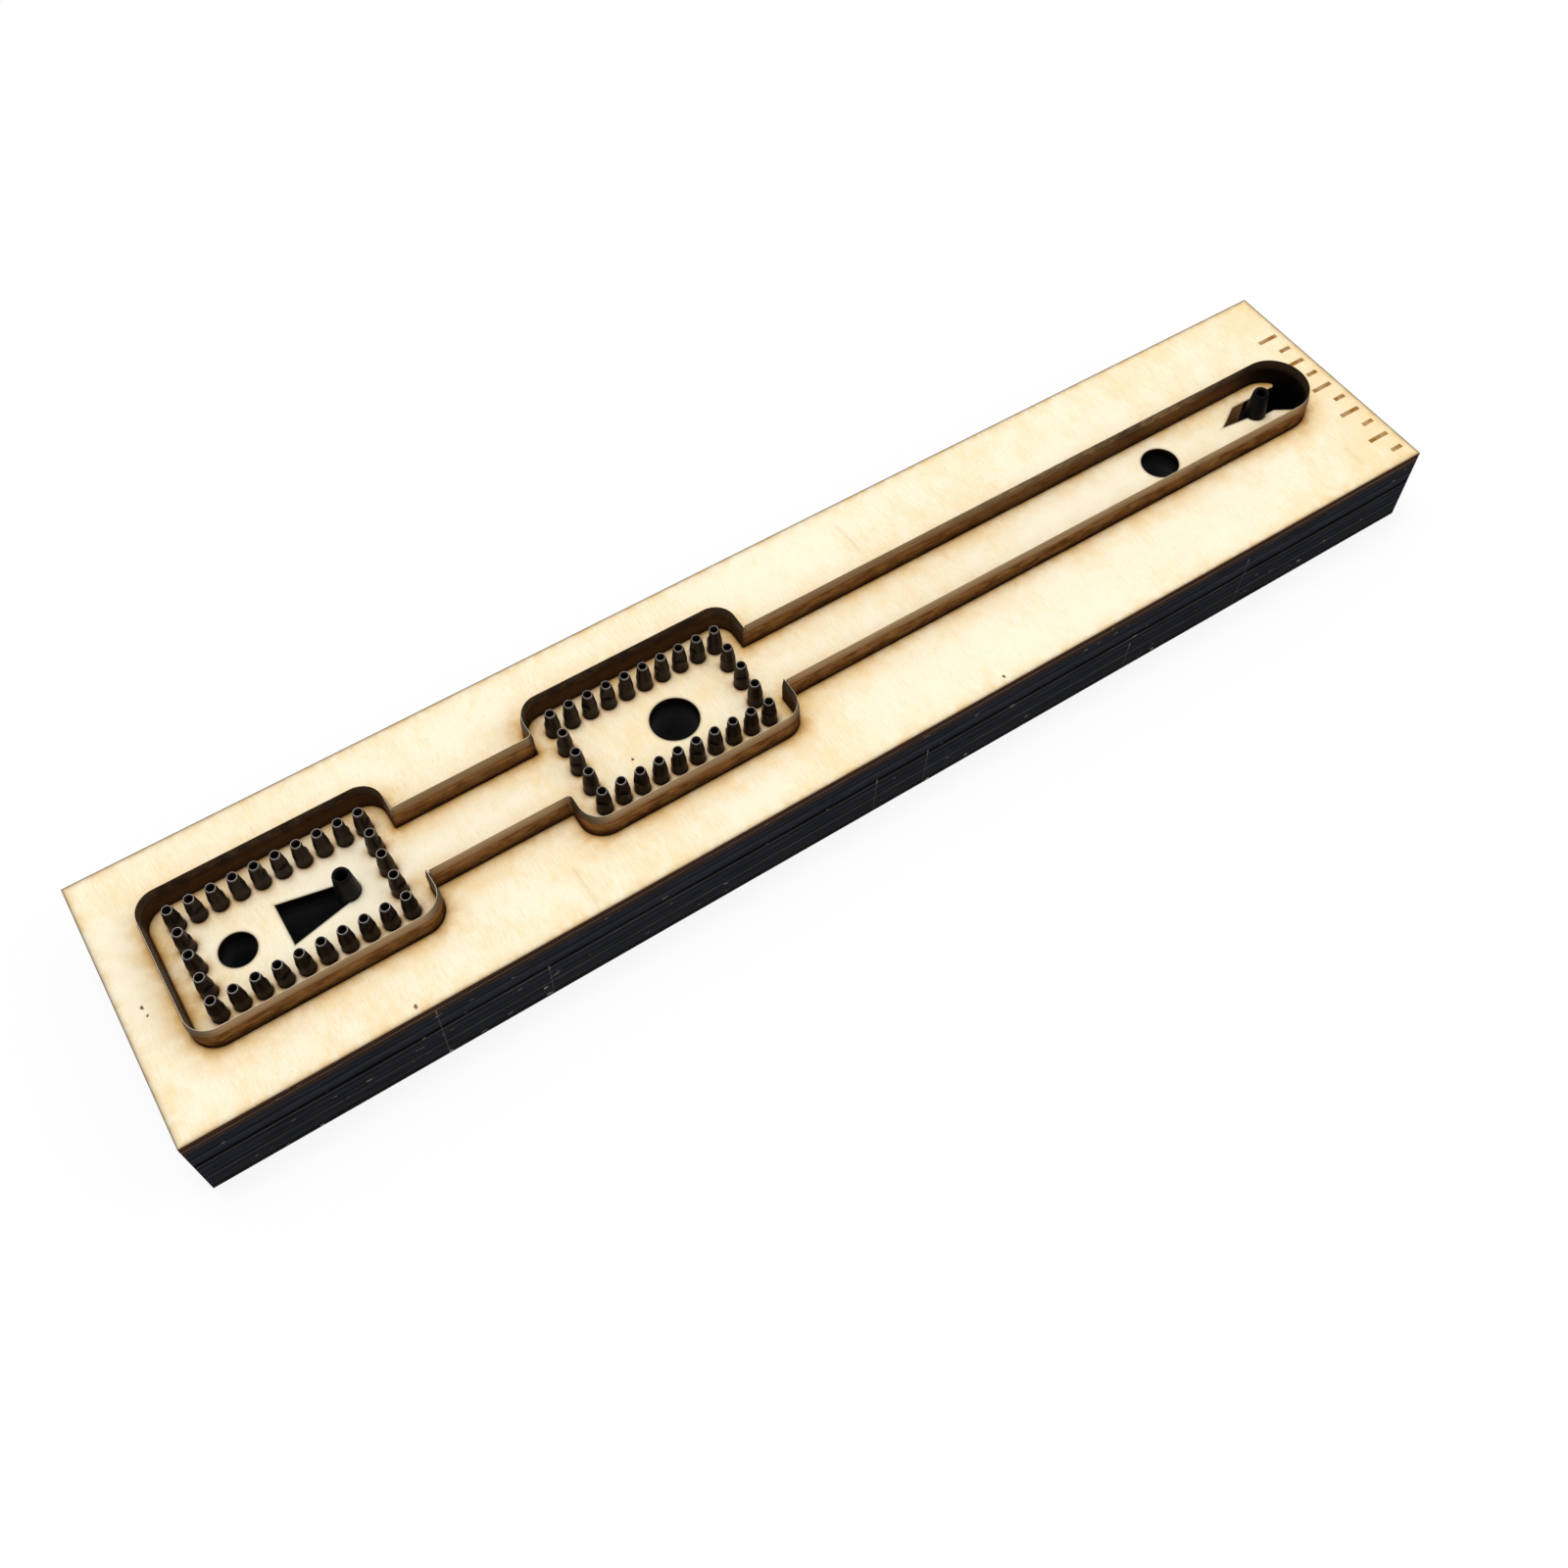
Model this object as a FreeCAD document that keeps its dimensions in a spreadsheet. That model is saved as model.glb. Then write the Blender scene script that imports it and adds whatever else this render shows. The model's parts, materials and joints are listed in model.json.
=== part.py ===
# Steel rule cutting die for a long leather strap with two stitched panels.
#
# A plywood board is cut through along the cutting line. Strips of steel rule
# stand in those kerfs on edge, flush with the board's underside, and their
# ground edges stand proud of its top. Small tube punches stand in round
# pockets along the stitch lines, and two larger ones cut the rivet holes.
#
# Millimetres. The origin is under the middle of the board, X runs along the
# board towards the strap's rounded end, and the cutting edges point up.

import FreeCAD, Part
import math
import os
from types import SimpleNamespace

import Sketcher

PUNCHES_ALONG = 10
PUNCHES_ACROSS = 5
STRAP_BRIDGES = 3

# Degrees by which the stitch punches' flats are turned at most to either side,
# and the step from punch to punch, in radians.
FLAT_SPREAD = 70.0
FLAT_STEP = 2.4

SIZES = [
    ("board_length", 253.0, "plywood board, along the strap"),
    ("board_width", 51.0, "plywood board, across the strap"),
    ("board_thickness", 18.0, "plywood board"),
    ("rule_height", 23.8, "steel rule, underside to cutting edge"),
    ("rule_thickness", 0.71, "steel rule, 2 point stock"),
    ("bevel_depth", 1.9, "ground bevel, down from the cutting edge"),
    ("edge_land", 0.06, "flat left on the cutting edge"),
    ("sharp_bend_radius", 0.8, "middle of the rule at a sharp bend"),
    ("kerf_clearance", 0.03, "between the rule and each wall of its kerf"),
    ("bridge_width", 5.0, "wood left standing across a kerf"),
    ("bridge_gap", 0.3, "between a wood bridge and each end of the notch"),
    ("notch_headroom", 0.15, "between a wood bridge and the rule over it"),
    ("panel_corner_radius", 4.0, "cutting edge at a panel's corners"),
    ("panel_1_left", 8.75, "board's left end to the first panel's edge"),
    ("panel_gap", 25.9, "strap between the two panels"),
    ("tip_margin", 9.75, "strap's rounded tip to the board's right end"),
    ("strap_width", 13.6, "between the strap's cutting edges"),
    ("stitch_pitch_long", 3.6, "punch to punch, along a panel"),
    ("stitch_pitch_short", 4.5, "punch to punch, across a panel"),
    ("stitch_margin", 4.65, "punch row to the panel's cutting edge"),
    ("stitch_shank", 2.7, "stitch punch, diameter in the board"),
    ("stitch_bore", 1.15, "stitch punch, bore"),
    ("stitch_edge_wall", 0.275, "stitch punch, wall at the cutting edge"),
    ("stitch_ledge", 3.1, "stitch punch, cutting edge down to the ledge where its taper starts"),
    ("flat_bite", 0.1, "stitch punch, how far its flat cuts into the neck"),
    ("rivet_shank", 4.0, "rivet hole punch, diameter in the board"),
    ("rivet_bore", 2.0, "rivet hole punch, bore"),
    ("rivet_edge_wall", 0.4, "rivet hole punch, wall at the cutting edge"),
    ("rivet_taper", 4.5, "rivet hole punch, cutting edge down to where its taper starts"),
    ("ground_width", 0.15, "ground bevel outside a punch's cutting edge"),
    ("ground_depth", 0.45, "ground bevel, down from the cutting edge"),
    ("tip_land", 0.1, "flat ring left on a punch's tip"),
    ("mouth_depth", 0.3, "cone inside a punch's tip"),
    ("pocket_clearance", 0.04, "between a punch and its pocket"),
    ("hole_1_diameter", 6.2, "ejection hole in the first panel"),
    ("hole_1_inset", 11.1, "first panel's edge to its ejection hole"),
    ("hole_2_diameter", 8.8, "ejection hole in the second panel"),
    ("hole_2_inset", 23.4, "second panel's edge to its ejection hole"),
    ("hole_3_diameter", 7.3, "ejection hole in the strap"),
    ("hole_3_from_tip", 34.6, "strap's tip to its ejection hole"),
    ("relief_length", 11.0, "first panel's relief cut, up to its punch"),
    ("relief_wide_end", 8.2, "first panel's relief cut, far end"),
    ("relief_narrow_end", 3.5, "first panel's relief cut, at its punch"),
    ("panel_punch_inset", 30.0, "first panel's edge to its rivet hole punch"),
    ("strap_punch_from_tip", 10.25, "strap's tip to its rivet hole punch"),
    ("end_opening_far", 3.4, "strap's middle to the wider sides of its end opening"),
    ("end_opening_near", 1.4, "strap's middle to the opening's near side by the punch"),
    ("flare_start", 3.7, "punch to where the opening's near side starts to flare"),
    ("flare_length", 3.4, "along the strap, over which the near side flares"),
    ("tongue_from_tip", 1.95, "strap's tip to the ends of the board's tongues inside it"),
    ("tongue_chamfer", 0.5, "corner taken off each tongue's end"),
    ("spur_length", 7.75, "pointed spur of the end opening, from the punch"),
    ("spur_shoulder", 2.75, "punch to where the spur has its full width"),
    ("spur_rise", 0.4, "spur's point from the strap's middle"),
    ("spur_drop", 0.5, "strap's middle to the spur's near side, at the punch"),
]


class Length:
    """A length with its number and the sheet's expression for it."""

    def __init__(self, text, value):
        self.text = text
        self.value = value

    def join(self, other, sign, value):
        other_text = other.text if isinstance(other, Length) else repr(other)
        return Length("(" + self.text + sign + other_text + ")", value)

    def __add__(self, other):
        return self.join(other, " + ", self.value + number(other))

    def __sub__(self, other):
        return self.join(other, " - ", self.value - number(other))

    def __mul__(self, other):
        return self.join(other, " * ", self.value * number(other))

    def __truediv__(self, other):
        return self.join(other, " / ", self.value / number(other))


def number(length):
    return length.value if isinstance(length, Length) else float(length)


doc = FreeCAD.newDocument("leather_cutting_die")
sheet = doc.addObject("Spreadsheet::Sheet", "Sizes")
for row, (name, value, note) in enumerate(SIZES, start=1):
    sheet.set("A%d" % row, name)
    sheet.set("B%d" % row, str(value))
    sheet.set("C%d" % row, note)
    sheet.setAlias("B%d" % row, name)
doc.recompute()
size = SimpleNamespace(**{name: Length("Sizes." + name, value) for name, value, note in SIZES})
zero = Length("0", 0.0)

# Places worked out from the sizes. X is from the board's left end and Y from
# its near edge, so that every place is a positive length.
middle_y = size.board_width / 2
strap_half = size.strap_width / 2
rule_half = size.rule_thickness / 2
stitch_length = size.stitch_pitch_long * (PUNCHES_ALONG - 1)
stitch_width = size.stitch_pitch_short * (PUNCHES_ACROSS - 1)
panel_half = stitch_width / 2 + size.stitch_margin
panel_length = stitch_length + size.stitch_margin * 2
panel_1_right = size.panel_1_left + panel_length
panel_2_left = panel_1_right + size.panel_gap
panel_2_right = panel_2_left + panel_length
strap_tip = size.board_length - size.tip_margin
strap_end_x = strap_tip - strap_half
panel_far = middle_y + panel_half
panel_near = middle_y - panel_half
strap_far = middle_y + strap_half
strap_near = middle_y - strap_half
panel_punch_x = size.panel_1_left + size.panel_punch_inset
strap_punch_x = strap_tip - size.strap_punch_from_tip


def bind(item, name, length):
    item.setExpression(name, length.text)


def place(item, x=zero, y=zero, z=zero):
    """Put an object at a point given from the board's near left corner."""
    bind(item, "Placement.Base.x", x - size.board_length / 2)
    bind(item, "Placement.Base.y", y - size.board_width / 2)
    bind(item, "Placement.Base.z", z)


def add(kind, name):
    return doc.addObject(kind, name)


def pin(sketch, geometry, point, x=None, y=None):
    """Fix a point of a sketch at lengths from the sketch's origin."""
    for kind, length in (("DistanceX", x), ("DistanceY", y)):
        if length is not None:
            constraint = Sketcher.Constraint(kind, -1, 1, geometry, point, length.value)
            index = sketch.addConstraint(constraint)
            bind(sketch, "Constraints[%d]" % index, length)


def vector(x, y):
    return FreeCAD.Vector(number(x), number(y), 0)


def polygon(name, corners):
    """A closed sketch through corners, each an (x, y) pair of lengths."""
    sketch = add("Sketcher::SketchObject", name)
    for start, end in zip(corners, corners[1:] + corners[:1]):
        sketch.addGeometry(Part.LineSegment(vector(*start), vector(*end)), False)
    for side, corner in enumerate(corners):
        following = (side + 1) % len(corners)
        sketch.addConstraint(Sketcher.Constraint("Coincident", side, 2, following, 1))
        pin(sketch, side, 1, *corner)
    return sketch


def anticlockwise_arc(centre, start, end):
    """An arc about a centre, from start anticlockwise to end."""
    angles = [math.atan2(point.y - centre.y, point.x - centre.x) for point in (start, end)]
    if angles[1] < angles[0]:
        angles[1] += 2 * math.pi
    circle = Part.Circle(centre, FreeCAD.Vector(0, 0, 1), start.distanceToPoint(centre))
    return Part.ArcOfCircle(circle, *angles)


def bend_between(sketch, before, after, centre, clockwise):
    """Join two runs of a sketch by a tangent arc about a centre."""
    ends = (sketch.Geometry[before].EndPoint, sketch.Geometry[after].StartPoint)
    if clockwise:
        ends = (ends[1], ends[0])
    bend = sketch.addGeometry(anticlockwise_arc(centre, *ends), False)
    first = 2 if clockwise else 1
    sketch.addConstraint(Sketcher.Constraint("Tangent", before, 2, bend, first))
    sketch.addConstraint(Sketcher.Constraint("Tangent", bend, 3 - first, after, 1))
    return bend


def route(name, corners):
    """An open sketch of straight runs with round bends.

    Each corner is (x, y, bend radius), and the runs are square to each other.
    """
    sketch = add("Sketcher::SketchObject", name)
    points = [vector(x, y) for x, y, radius in corners]
    headings = [(end - start).normalize() for start, end in zip(points, points[1:])]
    trims = [0.0] + [number(radius) for x, y, radius in corners[1:-1]] + [0.0]
    runs = []
    for index, heading in enumerate(headings):
        start = points[index] + heading * trims[index]
        end = points[index + 1] - heading * trims[index + 1]
        run = sketch.addGeometry(Part.LineSegment(start, end), False)
        runs.append(run)
        x, y, radius = corners[index]
        upright = abs(heading.y) > abs(heading.x)
        sketch.addConstraint(Sketcher.Constraint("Vertical" if upright else "Horizontal", run))
        if index == 0:
            pin(sketch, run, 1, x, y)
        elif upright:
            pin(sketch, run, 1, x=x)
        else:
            pin(sketch, run, 1, y=y)
    last_x, last_y, radius = corners[-1]
    if upright:
        pin(sketch, runs[-1], 2, y=last_y)
    else:
        pin(sketch, runs[-1], 2, x=last_x)
    for index in range(1, len(headings)):
        arriving, leaving = headings[index - 1], headings[index]
        centre = points[index] + (leaving - arriving) * trims[index]
        clockwise = arriving.x * leaving.y - arriving.y * leaving.x < 0
        bend = bend_between(sketch, runs[index - 1], runs[index], centre, clockwise)
        constraint = sketch.addConstraint(Sketcher.Constraint("Radius", bend, trims[index]))
        bind(sketch, "Constraints[%d]" % constraint, corners[index][2])
    place(sketch)
    return sketch


def strap_route(name):
    """The open sketch of the strap's rule: out, round the tip and back."""
    sketch = add("Sketcher::SketchObject", name)
    start_x = panel_2_right + rule_half
    far_line = Part.LineSegment(vector(start_x, strap_far), vector(strap_end_x, strap_far))
    near_line = Part.LineSegment(vector(strap_end_x, strap_near), vector(start_x, strap_near))
    far = sketch.addGeometry(far_line, False)
    near = sketch.addGeometry(near_line, False)
    sketch.addConstraint(Sketcher.Constraint("Horizontal", far))
    sketch.addConstraint(Sketcher.Constraint("Horizontal", near))
    pin(sketch, far, 1, start_x, strap_far)
    pin(sketch, near, 2, start_x, strap_near)
    round_end = bend_between(sketch, far, near, vector(strap_end_x, middle_y), True)
    pin(sketch, round_end, 3, x=strap_end_x)
    place(sketch)
    return sketch


def sweep(name, section, path):
    swept = add("Part::Sweep", name)
    swept.Sections = [section]
    swept.Spine = (path, ["Edge%d" % (index + 1) for index in range(path.GeometryCount)])
    swept.Solid = True
    swept.Frenet = False
    return swept


def stand(section, x, y, along_x):
    """Stand a section upright at the start of a route, square to it."""
    turn = FreeCAD.Rotation(90, 0, 90) if along_x else FreeCAD.Rotation(0, 0, 90)
    section.Placement = FreeCAD.Placement(FreeCAD.Vector(), turn)
    place(section, x, y)


def rule_section(name):
    """The rule's section: a thin upright strip with a bevel on both faces."""
    land = size.edge_land / 2
    shoulder = size.rule_height - size.bevel_depth
    left = zero - rule_half
    return polygon(name, [
        (left, zero),
        (rule_half, zero),
        (rule_half, shoulder),
        (land, size.rule_height),
        (zero - land, size.rule_height),
        (left, shoulder),
    ])


def kerf_section(name):
    """The kerf's section: the rule's thickness with a clearance each side."""
    half = rule_half + size.kerf_clearance
    return polygon(name, [
        (zero - half, zero),
        (half, zero),
        (half, size.board_thickness),
        (zero - half, size.board_thickness),
    ])


def block(name, x, y, length_x, length_y, height):
    """A block with its middle at x, y, up from the board's underside."""
    box = add("Part::Box", name)
    bind(box, "Length", length_x)
    bind(box, "Width", length_y)
    bind(box, "Height", height)
    place(box, x - length_x / 2, y - length_y / 2)
    return box


def gather(kind, name, shapes):
    group = add(kind, name)
    if kind == "Part::MultiFuse":
        group.Shapes = shapes
    else:
        group.Links = shapes
    return group


def cut(name, base, tool, label=None):
    result = add("Part::Cut", name)
    result.Base = base
    result.Tool = tool
    result.Refine = True
    if label:
        result.Label = label
    return result


def rule(label, path, start, along_x, bridges):
    """One strip of rule with its notches, and the kerf that it stands in.

    Each bridge is (x, y, True where the rule runs along X there).
    """
    across = size.rule_thickness * 4
    notch_length = size.bridge_width + size.bridge_gap * 2
    notch_height = size.board_thickness + size.notch_headroom
    notches = []
    woods = []
    for index, (x, y, runs_x) in enumerate(bridges):
        notch_size = (notch_length, across) if runs_x else (across, notch_length)
        wood_size = (size.bridge_width, across) if runs_x else (across, size.bridge_width)
        suffix = "_%d" % (index + 1)
        notches.append(block(label + "_notch" + suffix, x, y, *notch_size, notch_height))
        woods.append(block(label + "_wood" + suffix, x, y, *wood_size, size.board_thickness))
    section = rule_section(label + "_section")
    stand(section, *start, along_x)
    kerf = kerf_section(label + "_kerf_section")
    stand(kerf, *start, along_x)
    strip = sweep(label + "_strip", section, path)
    slot = sweep(label + "_slot", kerf, path)
    steel = cut(label + "_cut", strip, gather("Part::Compound", label + "_notches", notches), label)
    kerf_cut = cut(label + "_kerf", slot, gather("Part::Compound", label + "_woods", woods))
    return steel, kerf_cut


def side_rule(label, side_y, panel_y, inside):
    """The rule along one side, from the first panel round the second one.

    inside is the strap rule's inner face, where the strip ends.
    """
    start = (panel_1_right + rule_half, side_y)
    path = route(label + "_route", [
        (*start, None),
        (panel_2_left, side_y, size.sharp_bend_radius),
        (panel_2_left, panel_y, size.panel_corner_radius),
        (panel_2_right, panel_y, size.panel_corner_radius),
        (panel_2_right, inside, None),
    ])
    bridges = [
        (panel_1_right + size.panel_gap / 2, side_y, True),
        (panel_2_left + panel_length / 2, panel_y, True),
    ]
    return rule(label, path, start, True, bridges)


def panel_rule():
    """The rule round the first panel, open where the strap leaves it."""
    start = (panel_1_right, strap_far - rule_half)
    corner = size.panel_corner_radius
    path = route("panel_rule_route", [
        (*start, None),
        (panel_1_right, panel_far, corner),
        (size.panel_1_left, panel_far, corner),
        (size.panel_1_left, panel_near, corner),
        (panel_1_right, panel_near, corner),
        (panel_1_right, strap_near + rule_half, None),
    ])
    panel_middle = size.panel_1_left + panel_length / 2
    bridges = [
        (panel_middle, panel_far, True),
        (size.panel_1_left, middle_y, False),
        (panel_middle, panel_near, True),
    ]
    return rule("panel_rule", path, start, False, bridges)


def strap_rule():
    """The rule down the strap's long sides and round its tip."""
    start = (panel_2_right + rule_half, strap_far)
    spacing = (strap_end_x - panel_2_right) / STRAP_BRIDGES
    bridges = []
    for side_y in (strap_far, strap_near):
        for index in range(STRAP_BRIDGES):
            bridges.append((panel_2_right + spacing * (index + 0.5), side_y, True))
    return rule("strap_rule", strap_route("strap_rule_route"), start, True, bridges)


def punch_section(name, shank, bore, edge_wall, taper):
    """Half the section of a tube punch, from its bore out to its wall.

    taper is the height over which the shank narrows to its ground tip.
    """
    bore_wall = bore / 2
    edge = bore_wall + edge_wall
    return polygon(name, [
        (bore_wall, zero),
        (shank / 2, zero),
        (shank / 2, size.rule_height - taper),
        (edge + size.ground_width, size.rule_height - size.ground_depth),
        (edge, size.rule_height),
        (edge - size.tip_land, size.rule_height),
        (bore_wall, size.rule_height - size.mouth_depth),
    ])


def tube(name, section):
    """A section turned about its own upright axis."""
    turned = add("Part::Revolution", name)
    turned.Source = section
    turned.Axis = FreeCAD.Vector(0, 1, 0)
    turned.Base = FreeCAD.Vector()
    turned.Angle = 360
    turned.Solid = True
    turned.Placement = FreeCAD.Placement(FreeCAD.Vector(), FreeCAD.Rotation(0, 0, 90))
    return turned


def flat_cutter(name):
    """What grinds the flat on a stitch punch's taper, which leaves a ledge."""
    neck = size.stitch_bore / 2 + size.stitch_edge_wall + size.ground_width
    box = add("Part::Box", name)
    bind(box, "Length", size.stitch_shank)
    bind(box, "Width", size.stitch_shank)
    bind(box, "Height", size.stitch_ledge)
    bind(box, "Placement.Base.x", neck - size.flat_bite)
    bind(box, "Placement.Base.y", zero - size.stitch_shank / 2)
    bind(box, "Placement.Base.z", size.rule_height - size.stitch_ledge)
    return box


def stitch_punch(name, blank, flat, x, y, turn):
    """A small tube punch, pushed in with its flat turned some way round."""
    made = cut(name, blank, flat)
    made.Placement = FreeCAD.Placement(FreeCAD.Vector(), FreeCAD.Rotation(turn, 0, 0))
    place(made, x, y)
    return made


def round_hole(name, x, y, diameter):
    """A round cutter through the whole board."""
    cylinder = add("Part::Cylinder", name)
    bind(cylinder, "Radius", diameter / 2)
    bind(cylinder, "Height", size.board_thickness)
    place(cylinder, x, y)
    return cylinder


def prism(name, corners):
    """A straight-sided cutter through the whole board."""
    outline = polygon(name + "_outline", corners)
    place(outline)
    solid = add("Part::Extrusion", name)
    solid.Base = outline
    solid.DirMode = "Normal"
    solid.Solid = True
    bind(solid, "LengthFwd", size.board_thickness)
    return solid


def stitch_places(left):
    """Places of the punches round one panel's four sides."""
    places = []
    for column in range(PUNCHES_ALONG):
        for row in range(PUNCHES_ACROSS):
            if column in (0, PUNCHES_ALONG - 1) or row in (0, PUNCHES_ACROSS - 1):
                x = left + size.stitch_margin + size.stitch_pitch_long * column
                y = panel_near + size.stitch_margin + size.stitch_pitch_short * row
                places.append((x, y))
    return places


def relief_cut():
    """The wedge-shaped cut that leads up to the first panel's rivet punch."""
    left = panel_punch_x - size.relief_length
    wide = size.relief_wide_end / 2
    narrow = size.relief_narrow_end / 2
    return prism("relief_cut", [
        (left, middle_y - wide),
        (panel_punch_x, middle_y - narrow),
        (panel_punch_x, middle_y + narrow),
        (left, middle_y + wide),
    ])


def end_opening():
    """The opening at the strap's tip: a flared band up to the rule and a spur.

    The board's two tongues inside the rule end short of the strap's tip.
    """
    far = middle_y + size.end_opening_far
    flared = middle_y - size.end_opening_far
    near = middle_y - size.end_opening_near
    flare = strap_punch_x + size.flare_start
    tongue_end = strap_tip - size.tongue_from_tip
    chamfer = size.tongue_chamfer
    band = prism("end_band", [
        (strap_punch_x, near),
        (flare, near),
        (flare + size.flare_length, flared),
        (tongue_end - chamfer, flared),
        (tongue_end, flared - chamfer),
        (tongue_end, strap_near),
        (strap_tip, strap_near),
        (strap_tip, strap_far),
        (tongue_end, strap_far),
        (tongue_end, far + chamfer),
        (tongue_end - chamfer, far),
        (strap_punch_x, far),
    ])
    round_end = round_hole("end_round", strap_end_x, middle_y, size.strap_width)
    tip = add("Part::MultiCommon", "end_tip")
    tip.Shapes = [band, round_end]
    spur = prism("end_spur", [
        (strap_punch_x - size.spur_length, middle_y + size.spur_rise),
        (strap_punch_x, middle_y - size.spur_drop),
        (strap_punch_x, far),
        (strap_punch_x - size.spur_shoulder, far),
    ])
    return [tip, spur]


# The four strips of steel rule, and their kerfs.
parts = []
cutters = []
for steel, kerf in (
    panel_rule(),
    side_rule("far_side_rule", strap_far, panel_far, strap_far - rule_half),
    side_rule("near_side_rule", strap_near, panel_near, strap_near + rule_half),
    strap_rule(),
):
    parts.append(steel)
    cutters.append(kerf)

# The tube punches, and their pockets. The flats of the first panel's punches
# face the strap's tip, more or less, and those of the second face away from it.
stitch_section = punch_section(
    "stitch_section", size.stitch_shank, size.stitch_bore, size.stitch_edge_wall, size.stitch_ledge)
rivet_section = punch_section(
    "rivet_section", size.rivet_shank, size.rivet_bore, size.rivet_edge_wall, size.rivet_taper)
stitch_blank = tube("stitch_blank", stitch_section)
stitch_flat = flat_cutter("stitch_flat")
stitch_pocket = size.stitch_shank + size.pocket_clearance * 2
rivet_pocket = size.rivet_shank + size.pocket_clearance * 2
for panel, left, faces in ((1, size.panel_1_left, 0.0), (2, panel_2_left, 180.0)):
    for index, (x, y) in enumerate(stitch_places(left), start=1):
        name = "stitch_punch_%d_%02d" % (panel, index)
        turn = faces + FLAT_SPREAD * math.sin(FLAT_STEP * index)
        parts.append(stitch_punch(name, stitch_blank, stitch_flat, x, y, turn))
        cutters.append(round_hole(name + "_pocket", x, y, stitch_pocket))
for name, x in (("rivet_punch_panel", panel_punch_x), ("rivet_punch_strap", strap_punch_x)):
    rivet_punch = tube(name, rivet_section)
    place(rivet_punch, x, middle_y)
    parts.append(rivet_punch)
    cutters.append(round_hole(name + "_pocket", x, middle_y, rivet_pocket))

# The ejection holes and the open cuts.
hole_1_x = size.panel_1_left + size.hole_1_inset
hole_2_x = panel_2_left + size.hole_2_inset
hole_3_x = strap_tip - size.hole_3_from_tip
cutters.append(round_hole("hole_1", hole_1_x, middle_y, size.hole_1_diameter))
cutters.append(round_hole("hole_2", hole_2_x, middle_y, size.hole_2_diameter))
cutters.append(round_hole("hole_3", hole_3_x, middle_y, size.hole_3_diameter))
cutters.append(relief_cut())
cutters.extend(end_opening())

# The plywood board, one piece with every kerf, pocket and hole through it.
blank = add("Part::Box", "board_blank")
bind(blank, "Length", size.board_length)
bind(blank, "Width", size.board_width)
bind(blank, "Height", size.board_thickness)
place(blank)
board = cut("board_cut", blank, gather("Part::MultiFuse", "board_cutters", cutters), "die_board")
parts.append(board)

doc.recompute()

for item in doc.Objects:
    if "Invalid" in item.State or "Error" in item.State:
        raise RuntimeError("%s is not computed: %s" % (item.Label, item.State))
for item in parts:
    shape = item.Shape
    if shape.isNull() or not shape.isValid() or len(shape.Solids) != 1:
        raise RuntimeError("%s is not one valid solid" % item.Label)

os.makedirs("parts", exist_ok=True)
for item in parts:
    item.Shape.exportStep(os.path.join("parts", item.Label + ".step"))
print("%d parts" % len(parts))
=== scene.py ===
import json
import math

import bpy
from mathutils import Euler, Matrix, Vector


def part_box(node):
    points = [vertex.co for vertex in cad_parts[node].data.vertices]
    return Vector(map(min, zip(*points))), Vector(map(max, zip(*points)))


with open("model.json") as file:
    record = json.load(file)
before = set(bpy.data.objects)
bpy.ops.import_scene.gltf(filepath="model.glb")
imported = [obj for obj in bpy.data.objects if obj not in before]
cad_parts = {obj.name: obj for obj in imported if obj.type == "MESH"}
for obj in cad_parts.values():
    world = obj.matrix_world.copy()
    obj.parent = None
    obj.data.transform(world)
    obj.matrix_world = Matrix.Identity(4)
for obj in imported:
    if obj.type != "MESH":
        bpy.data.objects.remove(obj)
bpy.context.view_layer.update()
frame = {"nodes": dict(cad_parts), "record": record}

# The board is birch plywood, cut through by a laser. Its face veneer is pale,
# with the grain across the board, and it is scorched amber beside each cut.
# The cut walls are charred black, with the plies showing as fine lines.

# Every size in this file is in millimetres, unless it says otherwise.
MM = 0.001
BOARD_THICKNESS = 18.0
RULE_HALF = 0.355
CORNER_RADIUS = 4.0
POCKET_RADIUS = 1.39
RIVET_POCKET_RADIUS = 2.04
HOLE_RADII = {"ejection_hole_1": 3.1, "ejection_hole_2": 4.4, "ejection_hole_3": 3.65}
RELIEF_LENGTH = 11.0
RELIEF_WIDE_END = 8.2
RELIEF_NARROW_END = 3.5
END_OPENING_FAR = 3.4
END_OPENING_NEAR = 1.4
FLARE_START = 3.7
FLARE_LENGTH = 3.4
TONGUE_FROM_TIP = 1.95
SPUR_LENGTH = 7.75
SPUR_SHOULDER = 2.75
SPUR_RISE = 0.4
SPUR_DROP = 0.5


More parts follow.
